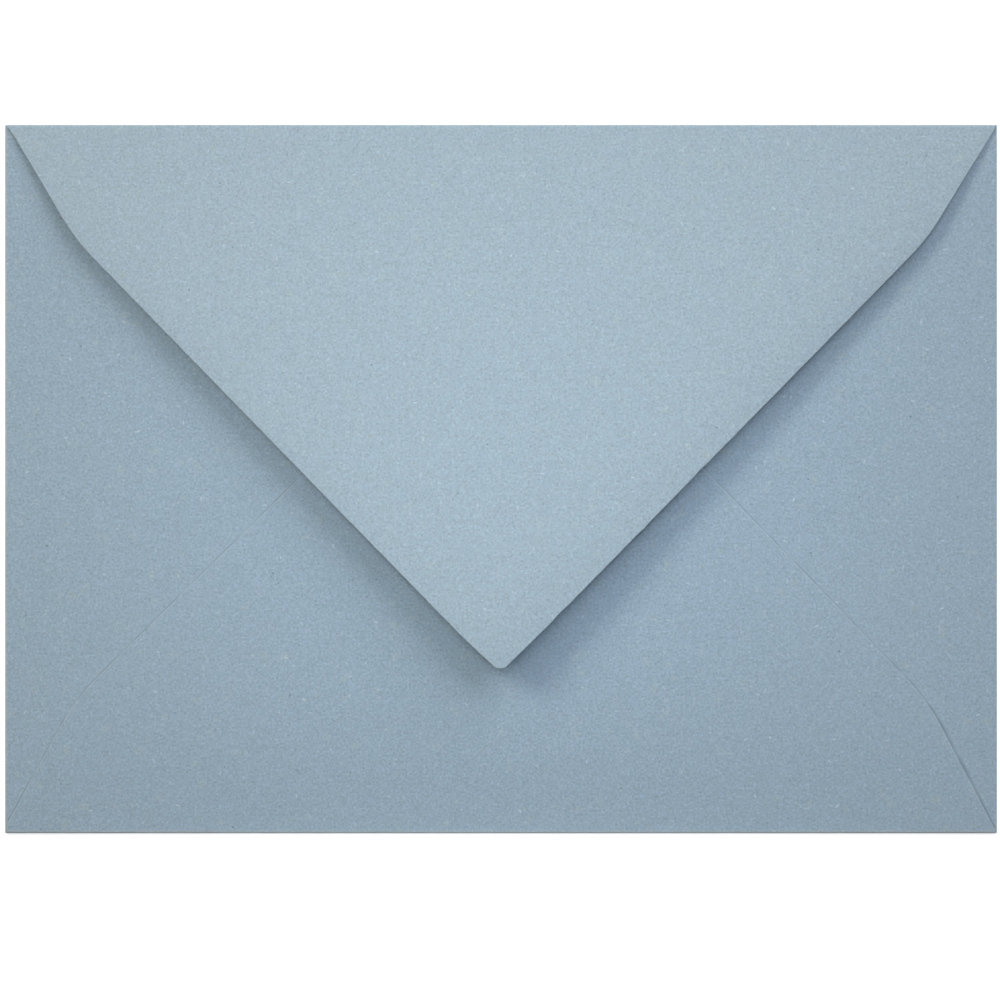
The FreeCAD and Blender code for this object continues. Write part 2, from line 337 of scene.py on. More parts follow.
@dataclass(frozen=True)
class Outline:
    """Cut edges of a flap: steep by its fold, then straight to a round or blunt tip.

    Places are given along the envelope's side from its middle, and inward from it. The
    first edge is the one at the negative end of the side. Each edge has its own inset at
    the side and its own angle, and neither goes past the widest reach.
    """

    side_length: float
    widest: float
    insets: tuple[float, float]
    shoulder_along: float
    shoulder_in: float
    angles: tuple[float, float]
    tip_radius: float
    tip_width: float = 0.0
    shoulder_radius: float = 38.0
    arc_points: int = 24

    def apex(self) -> np.ndarray:
        """Where the two straight edges would meet.

        Returns:
            Its place along the side and inward.
        """
        rise_first, rise_second = (math.tan(math.radians(angle)) for angle in self.angles)
        span = self.side_length - 2 * self.shoulder_along
        reach = span * rise_second / (rise_first + rise_second)
        along = self.shoulder_along - self.side_length / 2 + reach
        return np.array([along, self.shoulder_in + reach * rise_first])

    def root(self, inset: float, sense: float) -> list[np.ndarray]:
        """Corners of one edge by the fold.

        Args:
            inset: how far the edge starts in from the side's end.
            sense: -1 for the first edge and 1 for the second.

        Returns:
            The corners from the side until the edge leaves the widest reach.
        """
        half = self.side_length / 2
        slant = (self.shoulder_along - inset) / self.shoulder_in
        leaves_in = (half - inset - self.widest) / slant
        if leaves_in <= 0:
            return [np.array([sense * (half - inset), 0.0])]
        return [np.array([sense * self.widest, 0.0]), np.array([sense * self.widest, leaves_in])]

    def tip(self) -> list[np.ndarray]:
        """Corners of the tip.

        Returns:
            The apex, or the two corners of a blunt tip.
        """
        apex = self.apex()
        if self.tip_width == 0:
            return [apex]
        run_first, run_second = (1 / math.tan(math.radians(angle)) for angle in self.angles)
        back = self.tip_width / (run_first + run_second)
        return [apex + [-back * run_first, -back], apex + [back * run_second, -back]]

    def rounded(self) -> list[np.ndarray]:
        """Points of the outline with its corners rounded.

        Returns:
            An array of points for each corner, from root to root.
        """
        half = self.side_length / 2
        first, second = self.root(self.insets[0], -1), self.root(self.insets[1], 1)[::-1]
        tip = self.tip()
        shoulder = np.array([half - self.shoulder_along, self.shoulder_in])
        corners = [*first, shoulder * (-1, 1), *tip, shoulder, *second]
        radii = [0.0] * len(first) + [self.shoulder_radius] + [self.tip_radius] * len(tip)
        radii += [self.shoulder_radius] + [0.0] * len(second)
        arcs = [corners[0][None]]
        for before, corner, after, radius in zip(corners, corners[1:], corners[2:], radii[1:]):
            back = (before - corner) / np.linalg.norm(before - corner)
            ahead = (after - corner) / np.linalg.norm(after - corner)
            half_angle = math.acos(float(back @ ahead)) / 2
            middle = corner + (back + ahead) / np.linalg.norm(back + ahead) * radius / math.sin(half_angle)
            start = corner + back * radius / math.tan(half_angle) - middle
            sense = math.copysign(1.0, float(back[0] * ahead[1] - back[1] * ahead[0]))
            swing = -sense * (math.pi - 2 * half_angle) * np.linspace(0, 1, self.arc_points)
            arcs.append(middle + np.stack([
                start[0] * np.cos(swing) - start[1] * np.sin(swing),
                start[0] * np.sin(swing) + start[1] * np.cos(swing),
            ], axis=1))
        return [*arcs, corners[-1][None]]

    def edges(self) -> tuple[np.ndarray, np.ndarray]:
        """The rounded outline as two runs of points.

        Returns:
            The first and the second edge, each from its root to the tip.
        """
        run = np.concatenate(self.rounded())
        ends = np.flatnonzero(run[:, 1] > run[:, 1].max() - TINY)
        return run[:ends[0] + 1], run[ends[-1]:][::-1]

    def tip_start(self) -> float:
        """Distance inward at which the rounding of the tip begins."""
        roots = len(self.root(self.insets[0], -1))
        return float(self.rounded()[roots + 1][0, 1])


@dataclass(frozen=True)
class Density:
    """How finely the paper is divided, in millimetres and counts.

    A narrow column along each cut edge takes the pale rim of the cut, paler fibres with a
    painted highlight, and is never more than a share of its row. The tip's last row stops at
    the last turn, in radians, so that it ends in a short cut edge.
    """

    row: float = 0.6
    first_row: float = 0.12
    growth: float = 1.6
    fold_steps: int = 10
    tip_steps: int = 12
    across_width: int = 112
    across_height: int = 84
    inner_every: int = 4
    cut_band: float = 0.24
    band_share: float = 0.125
    last_turn: float = 0.04

    def columns(self, count: int, low: float, high: float) -> np.ndarray:
        """Even places across a row, between the two cut bands.

        Args:
            count: number of steps between the bands.
            low: one end of the row.
            high: its other end.

        Returns:
            Places from low to high, with one more at each cut edge.
        """
        band = min(self.cut_band, (high - low) * self.band_share)
        return np.array([low, *np.linspace(low + band, high - band, count + 1), high])


@dataclass
class Flap:
    """A flap of the sheet, from the front panel round its fold to its tip.

    Subclasses say how high the flap stands above the surface that the envelope lies on.
    The waviness and the roughness of the cut grow over a short run past the fold. The fold
    is paler by shares at places along its bend, and a little just past it, from wear and from
    painted light.
    """

    paper: Format
    density: Density
    outline: Outline
    middle: np.ndarray
    along: np.ndarray
    inward: np.ndarray
    fold_radius: float
    fold_half: float
    steps_across: int
    panel_ends: tuple[float, float]
    waviness: Waviness
    open_angle: float = 0.0
    settle_run: float = 12.0
    edge_wear: float = 0.02
    clean_radii: float = 4.0
    wear_seed: int = 1
    fibre_seed_step: int = 7
    cut_burr: float = 0.02
    # Strength of the cut edges' pale rim: paler fibres under a painted highlight.
    raised_fibres_and_highlight: tuple[float, float] = (0.25, 1.0)
    # How pale the fold is painted, from wear and from painted light standing in for light from below.
    fold_wear_and_light: float = 0.0
    fold_light_places: tuple[float, ...] = (0.0, 0.15, 0.8, 1.0)
    fold_light_shares: tuple[float, ...] = (0.0, 1.0, 1.0, 0.25)
    fold_light_past: float = 0.05
    # Share of painted light that makes the flap lighter than the pocket.
    flap_light_share: float = 0.0
    first_nicks: tuple[Nick, ...] = ()
    second_nicks: tuple[Nick, ...] = ()

    def heights(self, along: np.ndarray, inward: np.ndarray) -> np.ndarray:
        """Height of the flap's outer face at places along and in from its side."""
        raise NotImplementedError

    def fold_ends(self, inward: float) -> tuple[float, float]:
        """Both ends of the fold, at a distance inward."""
        return -self.fold_half, self.fold_half

    def plan(self, along: np.ndarray, inward: np.ndarray) -> tuple[np.ndarray, np.ndarray]:
        """Turn places of the flap into places in the envelope's plan.

        Args:
            along: places along the side, from its middle.
            inward: distances in from the side.

        Returns:
            The places across and up the envelope.
        """
        x = self.middle[0] + self.along[0] * along + self.inward[0] * inward
        y = self.middle[1] + self.along[1] * along + self.inward[1] * inward
        return x, y

    def unevenness(self, along: np.ndarray, inward: np.ndarray) -> np.ndarray:
        """Height of the paper's waviness, which the fold holds down."""
        fade = np.clip((inward - self.fold_radius) / self.settle_run, 0, 1) ** 2
        return self.waviness.at(*self.plan(along, inward)) * fade

    def rows(self) -> np.ndarray:
        """Places of the flap's rows past its fold.

        Returns:
            Distances inward, closer together by the fold and round the tip.
        """
        first, _ = self.outline.edges()
        tip_end = first[-1, 1]
        tip_start = self.outline.tip_start()
        place = self.fold_end()
        step = self.density.first_row
        places = []
        while place + step < tip_start:
            place += step
            step = min(step * self.density.growth, self.density.row)
            places.append(place)
        radius = self.outline.tip_radius
        turn = math.acos(max(0.0, 1 - (tip_end - tip_start) / radius))
        for left in np.linspace(turn, self.density.last_turn, self.density.tip_steps):
            places.append(tip_end - radius * (1 - math.cos(left)))
        return np.array(places)

    def fold_end(self) -> float:
        """Distance inward at which the fold ends and the flap begins."""
        return self.fold_radius * (1 - math.sin(math.radians(self.open_angle)))

    def cut(self, places: np.ndarray) -> tuple[np.ndarray, np.ndarray]:
        """Places of both cut edges along the side, with the roughness of the die's cut.

        Args:
            places: distances inward.

        Returns:
            The first and the second edge, as places along the side.
        """
        result = []
        fade = np.clip(places / (self.clean_radii * self.fold_radius), 0, 1)
        nicks = (self.first_nicks, self.second_nicks)
        for number, (edge, flaws, outwards) in enumerate(zip(self.outline.edges(), nicks, (-1, 1))):
            rough = np.random.default_rng(self.wear_seed + number).normal(0, self.edge_wear, len(places))
            rough[1:] = (rough[1:] + rough[:-1]) / 2
            for nick in flaws:
                rough -= nick.depth * np.exp(-((places - nick.inward) / nick.half_width) ** 2)
            clean = np.interp(places, edge[:, 1], edge[:, 0])
            result.append(clean + outwards * rough * fade)
        return result[0], result[1]

    def marks(self, rows: int, columns: int) -> dict[Mark, np.ndarray]:
        """Pale cut edges, pale folds and the flap's painted light, each as a share.

        The cut edges' rim is paler fibres with a painted highlight; the folds are pale from wear
        and from painted light standing in for light from below.

        Args:
            rows: number of rows, the fold's included.
            columns: number of columns.

        Returns:
            Each mark's values, rows by columns.
        """
        folded = np.linspace(0, 1, self.density.fold_steps + 1)
        bend = len(folded)
        draw = np.random.default_rng(self.wear_seed + self.fibre_seed_step)
        raised = draw.uniform(*self.raised_fibres_and_highlight, (rows, 2))
        # The cut edges and the tip's last row take the pale rim: paler fibres with a painted highlight.
        cut = np.zeros((rows, columns))
        cut[bend:, [0, -1]] = raised[bend:]
        cut[-1, :] = 1
        fold_wear_light, flap_light = np.zeros((rows, columns)), np.zeros((rows, columns))
        # The fold is paler from wear and from painted light standing in for light from below.
        fold_wear_light[:bend] = np.interp(folded, self.fold_light_places, self.fold_light_shares)[:, None] * self.fold_wear_and_light
        fold_wear_light[bend] = self.fold_light_past * self.fold_wear_and_light
        # Painted light: the flap grows lighter over its fold, up to its full share.
        flap_light[:] = np.interp(np.arange(rows), (0, bend), (0, self.flap_light_share))[:, None]
        return {Mark.CUT: cut, Mark.WORN_AND_LIT_FOLD: fold_wear_light, Mark.PAINTED_FLAP_LIGHT: flap_light}

    def layout(self) -> tuple[np.ndarray, np.ndarray]:
        """Lay out the flap's points past its fold.

        Returns:
            Each point's place along the side and its distance inward, rows by columns.
        """
        inward = self.rows()
        first, second = self.cut(inward)
        grid = np.array([self.density.columns(self.steps_across, *ends) for ends in zip(first, second)])
        return grid, np.repeat(inward[:, None], grid.shape[1], axis=1)

    def points(self) -> tuple[np.ndarray, np.ndarray, np.ndarray]:
        """Outer points, inner points and blank places of the whole flap, in rows.

        Returns:
            The outer and inner points in space, and where each lies on the flat blank.
        """
        radius, thickness = self.fold_radius, self.paper.thickness
        flap_along, flap_in = self.layout()
        root = self.density.columns(self.steps_across, *self.panel_ends)
        outer, inner, blank = [], [], []
        for share in np.linspace(0, 1, self.density.fold_steps + 1):
            turn = math.radians(180 - self.open_angle) * share - math.pi / 2
            start = root * (1 - share) + flap_along[0] * share
            start[0], start[-1] = self.fold_ends(radius * (1 - math.cos(turn)))
            for target, bend in ((outer, radius), (inner, radius - thickness)):
                reach = np.full_like(start, radius - bend * math.cos(turn))
                x, y = self.plan(start, reach)
                target.append(np.stack([x, y, np.full_like(x, radius + bend * math.sin(turn))], axis=1))
            travel = (radius - thickness / 2) * (turn + math.pi / 2)
            blank.append((start, np.full_like(start, radius - travel)))
        fold_travel = (radius - thickness / 2) * math.radians(180 - self.open_angle)
        top = self.heights(flap_along, flap_in)
        slope = np.gradient(top[:, top.shape[1] // 2], flap_in[:, 0])
        x, y = self.plan(flap_along, flap_in)
        lean = np.sqrt(1 + slope ** 2)
        run = fold_travel + np.cumsum(np.diff(flap_in[:, 0], prepend=self.fold_end()) * lean)
        burr = np.zeros_like(top)
        burr[:, 0] = burr[:, -1] = self.cut_burr
        burr[-1, :] = self.cut_burr
        for row in range(len(top)):
            outer.append(np.stack([x[row], y[row], top[row] - burr[row]], axis=1))
            inner.append(np.stack([x[row], y[row], top[row] - thickness * lean[row]], axis=1))
            blank.append((flap_along[row], np.full_like(flap_along[row], radius - run[row])))
        places = np.array([np.stack(self.plan(a, i), axis=1) for a, i in blank])
        return np.array(outer), np.array(inner), places


@dataclass
class PocketFlap(Flap):
    """A side or bottom flap, which follows the pillow shape of the pocket."""

    pillow: Pillow = field(kw_only=True)

    def heights(self, along: np.ndarray, inward: np.ndarray) -> np.ndarray:
        """Height of the outer face: the fold's height and the pocket's arch."""
        arch = self.pillow.rise(*self.plan(along, inward))
        return 2 * self.fold_radius + arch + self.unevenness(along, inward)


@dataclass
class SealFlap(Flap):
    """The pointed flap, which springs open from its fold and flattens to its tip.

    Its cut edges lean at about 45 degrees to the fold and hang a little, each by its own
    droop over its own run. The first edge flares into an ear by the fold.
    """

    tip_angle: float = 2.0
    overrun: float = 2.0
    ear_width: float = 0.45
    ear_run: float = 1.1
    edge_lean: float = 45.0
    droops: tuple[float, float] = (0.26, 0.72)
    droop_runs: tuple[float, float] = (6.5, 8.5)
    droop_places: tuple[float, ...] = (0.0, 24.0, 44.0, 96.0)
    droop_shares: tuple[float, ...] = (0.0, 1.0, 1.0, 0.6)

    def ear(self, inward: np.ndarray) -> np.ndarray:
        """How far the first cut edge flares out into the envelope's corner."""
        return self.ear_width * np.exp(-np.asarray(inward) / self.ear_run)

    def cut(self, places: np.ndarray) -> tuple[np.ndarray, np.ndarray]:
        """Places of both cut edges, the first of which flares out by its fold."""
        first, second = super().cut(places)
        return np.maximum(first - self.ear(places), -self.fold_half), second

    def fold_ends(self, inward: float) -> tuple[float, float]:
        """Both ends of the fold, which the cut edges run through.

        Args:
            inward: distance in from the side.

        Returns:
            The first and the second end, along the side.
        """
        first, second = self.outline.edges()
        low = float(np.interp(inward, first[:, 1], first[:, 0]) - self.ear(inward))
        high = float(np.interp(inward, second[:, 1], second[:, 0]))
        return max(low, -self.fold_half), min(high, self.fold_half)

    def droop(self, along: np.ndarray, inward: np.ndarray) -> np.ndarray:
        """How far the flap hangs at its cut edges, most at the shoulders.

        Args:
            along: places along the side.
            inward: distances in from the side.

        Returns:
            The droop at each place.
        """
        total = np.zeros_like(along)
        lean = math.cos(math.radians(self.edge_lean))
        for edge, drop, run in zip(self.outline.edges(), self.droops, self.droop_runs):
            away = np.abs(np.interp(inward, edge[:, 1], edge[:, 0]) - along) * lean
            total += drop * np.clip(1 - away / run, 0, 1) ** 2
        return total * np.interp(inward, self.droop_places, self.droop_shares)

    def heights(self, along: np.ndarray, inward: np.ndarray) -> np.ndarray:
        """Height of the outer face, on a quadratic curve from the fold to the tip.

        Args:
            along: places along the side.
            inward: distances in from the side.

        Returns:
            The height at each place.
        """
        lift, tip = math.radians(self.open_angle), math.radians(self.tip_angle)
        run = (float(self.outline.apex()[1]) + self.overrun - self.fold_end()) / 2
        start = self.fold_radius * (1 + math.cos(lift))
        middle = start + run * math.tan(lift)
        end = middle + run * math.tan(tip)
        share = (inward - self.fold_end()) / (2 * run)
        curve = (1 - share) ** 2 * start + 2 * share * (1 - share) * middle + share ** 2 * end
        return curve + self.unevenness(along, inward) - self.droop(along, inward)


@dataclass
class SheetMesh:
    """Collects grids of points into one closed skin with blank coordinates and marks."""

    points: list[np.ndarray] = field(default_factory=list)
    blank: list[np.ndarray] = field(default_factory=list)
    marks: list[dict[Mark, np.ndarray]] = field(default_factory=list)
    faces: list[tuple[int, ...]] = field(default_factory=list)
    count: int = 0
    sharp_angle: float = 50.0

    def grid(self, points: np.ndarray, blank: np.ndarray, marks: dict[Mark, np.ndarray],
             flip: bool) -> np.ndarray:
        """Add a grid of points and its faces.

        Args:
            points: places in space, rows by columns by three.
            blank: places on the flat blank, rows by columns by two.
            marks: each mark's values, rows by columns; a mark that is left out is 0.
            flip: whether the faces look the other way.

        Returns:
            The number of each point, rows by columns.
        """
        rows, columns = points.shape[:2]
        index = np.arange(rows * columns).reshape(rows, columns) + self.count
        self.points.append(points.reshape(-1, 3))
        self.blank.append(blank.reshape(-1, 2))
        self.marks.append(marks)
        self.count += rows * columns
        quads = np.stack([index[:-1, :-1], index[:-1, 1:], index[1:, 1:], index[1:, :-1]], axis=-1)
        quads = quads.reshape(-1, 4)
        self.faces.extend(map(tuple, (quads[:, ::-1] if flip else quads).tolist()))
        return index

    def build(self, name: str, weld: float) -> bpy.types.Object:
        """Make the object, with its shared points welded and its cut edges sharp.

        Args:
            name: the piece's name.
            weld: distance in millimetres within which points are one point.

        Returns:
            The new object.
        """
        data = bpy.data.meshes.new(name)
        data.from_pydata((np.concatenate(self.points) * MM).tolist(), [], self.faces)
        for mark in Mark:
            values = [m.get(mark, np.zeros(len(p))).ravel() for m, p in zip(self.marks, self.points)]
            layer = data.attributes.new(mark.value, "FLOAT", "POINT")
            layer.data.foreach_set("value", np.concatenate(values).astype(np.float32))
        plan = np.concatenate(self.blank) * MM
        corners = np.empty(len(data.loops), np.int32)
        data.loops.foreach_get("vertex_index", corners)
        layer = data.uv_layers.new(name="blank")
        layer.data.foreach_set("uv", plan[corners].ravel().astype(np.float32))
        close_skin(data, weld * MM)
        data.polygons.foreach_set("use_smooth", [True] * len(data.polygons))
        data.set_sharp_from_angle(angle=math.radians(self.sharp_angle))
        return add_object(name, data)


@dataclass
class EnvelopeSheet:
    """The die-cut sheet, folded on four sides: front panel, side, bottom and seal flaps.

    The paper's inner face has its own place on the blank, a shift away from the outer one's.
    """

    paper: Format
    density: Density = field(default_factory=Density)
    weld: float = 0.002
    inner_shift: float = 420.0
    side_fold_margin: float = 0.05

    def flaps(self) -> list[Flap]:
        """Describe the flaps.

        Returns:
            The left, right, bottom and seal flap, in the order in which they are folded.
        """
        paper, density = self.paper, self.density
        left, right, bottom, top = paper.panel
        pillow = Pillow(paper)
        drying = Waviness(height=0.05, shortest=22.0, longest=60.0, seed=11)
        flap_drying = Waviness(height=0.06, shortest=25.0, longest=70.0, seed=23)
        side = Outline(
            side_length=paper.height, widest=-bottom, insets=(0.0, 0.0), shoulder_along=12.5,
            shoulder_in=20.4, angles=(45.0, 45.0), tip_radius=10.0,
        )
        made = []
        # Each side fold is painted paler, from wear and from painted light, the left one more.
        for sense, seed, fold_wear_and_light in ((-1, 31, 0.35), (1, 37, 0.1)):
            made.append(PocketFlap(
                paper, density, side,
                middle=np.array([sense * paper.width / 2, 0.0]),
                along=np.array([0.0, 1.0]), inward=np.array([-sense, 0.0]),
                fold_radius=paper.side_fold, fold_half=paper.height / 2 - self.side_fold_margin,
                steps_across=density.across_height, panel_ends=(bottom, top),
                wear_seed=seed, fold_wear_and_light=fold_wear_and_light, pillow=pillow, waviness=drying,
            ))
        # The bottom flap's cut edges show in the seams, with a wider pale rim: paler fibres and a painted
        # highlight.
        made.append(PocketFlap(
            paper, replace(density, cut_band=0.4),
            Outline(
                side_length=paper.width, widest=right, insets=(-0.6, 0.0), shoulder_along=12.4,
                shoulder_in=23.7, angles=(44.6, 45.9), tip_radius=40.0,
            ),
            middle=np.array([0.0, -paper.height / 2]),
            along=np.array([1.0, 0.0]), inward=np.array([0.0, 1.0]),
            fold_radius=paper.bottom_fold, fold_half=right, steps_across=density.across_width,
            # Its fold is painted palest, from wear and from painted light standing in for light from below.
            panel_ends=(left, right), wear_seed=41, fold_wear_and_light=1.0, pillow=pillow, waviness=drying,
        ))
        # The wide nicks at 95.2 mm narrow the seal flap just before its blunt tip.
        made.append(SealFlap(
            paper, density,
            Outline(
                side_length=paper.width, widest=right, insets=(0.53, 0.0), shoulder_along=12.6,
                shoulder_in=20.35, angles=(45.7, 45.5), tip_radius=1.0, tip_width=2.2,
            ),
            middle=np.array([0.0, paper.height / 2]),
            along=np.array([1.0, 0.0]), inward=np.array([0.0, -1.0]),
            fold_radius=paper.seal_fold, fold_half=right, steps_across=density.across_width,
            panel_ends=(left, right), open_angle=9.0, wear_seed=53, waviness=flap_drying,
            # Full painted light makes the seal flap lighter than the pocket.
            flap_light_share=1.0, first_nicks=(Nick(95.2, 0.42, 3.4),),
            second_nicks=(
                Nick(61.0, 0.22, 0.5), Nick(71.0, -0.16, 0.4), Nick(85.9, 0.14, 0.5), Nick(95.2, 0.24, 3.4),
            ),
        ))
        return made

    def coarse(self, columns: int) -> list[int]:
        """Numbers of the columns that the hidden inner faces keep."""
        inside = list(range(1, columns - 1, self.density.inner_every))
        return [0, *inside, columns - 1]

    def add_flap(self, mesh: SheetMesh, flap: Flap) -> None:
        """Add a flap's two faces and its cut edge to the skin.

        Args:
            mesh: the skin.
            flap: the flap.
        """
        outer, inner, blank = flap.points()
        marks = flap.marks(outer.shape[0], outer.shape[1])
        keep = self.coarse(outer.shape[1])
        outer_index = mesh.grid(outer, blank, marks, False)
        shifted = blank[:, keep] + [self.inner_shift, 0.0]
        kept = {mark: values[:, keep] for mark, values in marks.items()}
        inner_index = mesh.grid(inner[:, keep], shifted, kept, True)
        for side in (0, -1):
            for row in range(outer.shape[0] - 1):
                mesh.faces.append((
                    int(outer_index[row, side]), int(outer_index[row + 1, side]),
                    int(inner_index[row + 1, side]), int(inner_index[row, side]),
                ))
        for place, (start, end) in enumerate(zip(keep, keep[1:])):
            rim = [int(i) for i in outer_index[-1, start:end + 1]]
            mesh.faces.append((*rim, int(inner_index[-1, place + 1]), int(inner_index[-1, place])))

    def add_front(self, mesh: SheetMesh) -> None:
        """Add the two faces of the flat front panel to the skin.

        Args:
            mesh: the skin.
        """
        left, right, bottom, top = self.paper.panel
        across = self.density.columns(self.density.across_width, left, right)
        up = self.density.columns(self.density.across_height, bottom, top)
        inside = (across[self.coarse(len(across))], up[self.coarse(len(up))])
        for axes, height, shift, flip in (
            ((across, up), 0.0, 0.0, True),
            (inside, self.paper.thickness, self.inner_shift, False),
        ):
            x, y = np.meshgrid(*axes)
            points = np.stack([x, y, np.full_like(x, height)], axis=-1)
            mesh.grid(points, np.stack([x + shift, y], axis=-1), {}, flip)

    def build(self, flaps: list[Flap]) -> bpy.types.Object:
        """Make the folded sheet as one closed skin of the paper's true thickness.

        Args:
            flaps: the four flaps.

        Returns:
            The new piece.
        """
        mesh = SheetMesh()
        self.add_front(mesh)
        for flap in flaps:
            self.add_flap(mesh, flap)
        piece = mesh.build("envelope_paper", self.weld)
        piece.data.materials.append(add_material("recycled_paper_uncoated", RecycledPaper().surface))
        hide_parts(SHEET_NODE)
        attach(piece, "root")
        return piece


@dataclass(frozen=True)
class PaintedSeamShade:
    """Painted shade: a dark strip put in the seams, where shade falls beside the cut edges.

    It is darkest and softly shiny where the strip is full, and nearly like the paper beneath
    where it thins out.
    """

    # Painted shade, darkest where the strip is full and faint where it thins out.
    full_shade: str = "6f828f"
    faint_shade: str = "93a8b8"
    roughness: float = 0.6

    def surface(self, tree: Tree) -> Socket:
        """Add the painted seam shade's surface, darker where the strip is full.

        Args:
            tree: the material's node tree.

        Returns:
            The surface's socket.
        """
        thickness = add_node(tree, "Attribute", {}, attribute_name="seam_shade_depth")["Fac"]
        colour = cover(tree, linear(self.faint_shade), [(thickness, self.full_shade)])
        return add_node(tree, "BsdfPrincipled", {"Base Color": colour, "Roughness": self.roughness})[0]


@dataclass(frozen=True)
class SeamShadeBead:
    """A bead of painted shade in the seam's corner beside the bottom flap's cut edge.

    Each bead has its width at stations inward from the bottom fold. How much shade it
    shows there varies by chance, and makes the bead narrower or wider.
    """

    starts: tuple[float, float] = (1.6, 0.8)
    end: float = 66.0
    height: float = 0.09
    tuck: float = 0.05
    outer_height: float = 0.006
    stations: tuple[float, ...] = (0.0, 5.0, 8.0, 16.0, 24.0, 66.0)
    first_widths: tuple[float, ...] = (0.22, 0.22, 0.22, 0.22, 0.28, 0.28)
    second_widths: tuple[float, ...] = (0.32, 0.42, 0.62, 0.62, 0.30, 0.28)
    least_width: float = 0.6
    width_by_amount: float = 0.5
    shade_draws: tuple[float, float] = (0.0, 1.3)
    least_shade: float = 0.1
    amount_range: tuple[float, float] = (0.3, 1.0)
    seed: int = 61

    def bead(self, bottom: PocketFlap, side: PocketFlap,
             second: bool) -> tuple[np.ndarray, list, np.ndarray]:
        """Points, faces and shade depth of one bead.

        Args:
            bottom: the flap whose cut edge the bead lies along.
            side: the flap that it lies on.
            second: whether it lies along the bottom flap's second edge.

        Returns:
            The bead's points in millimetres, three at each station, its faces, and how
            dark the painted shade is at each point, from 0 to 1.
        """
        places = bottom.rows()
        edge = bottom.cut(places)[int(second)]
        used = (places > self.starts[int(second)]) & (places < self.end)
        x, y = bottom.plan(edge[used], places[used])
        travel = np.stack([np.gradient(x), np.gradient(y)], axis=1)
        travel /= np.linalg.norm(travel, axis=1)[:, None]
        outward = np.stack([-travel[:, 1], travel[:, 0]], axis=1) * (-1 if second else 1)
        widths = self.second_widths if second else self.first_widths
        amount = self.amounts(len(x), self.seed + int(second))
        wide = np.interp(places[used], self.stations, widths)
        wide *= self.least_width + self.width_by_amount * amount
        rows = []
        for reach, rise in ((-self.tuck, 0.0), (-self.tuck, self.height), (wide, self.outer_height)):
            at = np.stack([x, y], axis=1) + outward * np.broadcast_to(reach, x.shape)[:, None]
            along = at[:, 1] * side.along[1]
            inward = (at[:, 0] - side.middle[0]) * side.inward[0]
            rows.append(np.column_stack([at, side.heights(along, inward) + rise]))
        points = np.stack(rows, axis=1).reshape(-1, 3)
        faces = [(0, 1, 2), (len(points) - 1, len(points) - 2, len(points) - 3)]
        for first in range(0, len(points) - 3, 3):
            for corner in range(3):
                beside = (corner + 1) % 3
                faces.append((first + corner, first + corner + 3, first + beside + 3, first + beside))
        return points, faces, np.column_stack([amount, amount, np.zeros(len(x))]).ravel()

    def amounts(self, count: int, seed: int) -> np.ndarray:
        """How much painted shade there is along the bead, from a little to a full bead (1)."""
        rough = np.random.default_rng(seed).uniform(*self.shade_draws, count + 2)
        return np.clip((rough[:-2] + rough[1:-1] + rough[2:]) / 3 + self.least_shade, *self.amount_range)

    def build(self, sides: list[PocketFlap], bottom: PocketFlap) -> bpy.types.Object:
        """Make both beads as one piece.

        Args:
            sides: the left and the right side flap.
            bottom: the bottom flap.

        Returns:
            The new piece.
        """
        points, faces, thickness = [], [], []
        for second, side in enumerate(sides):
            bead_points, bead_faces, amounts = self.bead(bottom, side, bool(second))
            thickness.append(amounts)
            shift = sum(len(run) for run in points)
            faces += [tuple(number + shift for number in face) for face in bead_faces]
            points.append(bead_points)
        data = bpy.data.meshes.new("seam_shade_bead")
        data.from_pydata((np.concatenate(points) * MM).tolist(), [], faces)
        close_skin(data, 0.0)
        layer = data.attributes.new("seam_shade_depth", "FLOAT", "POINT")
        layer.data.foreach_set("value", np.concatenate(thickness))
        data.materials.append(add_material("painted_seam_shade", PaintedSeamShade().surface))
        piece = add_object("seam_shade_bead", data)
        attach(piece, "root")
        return piece


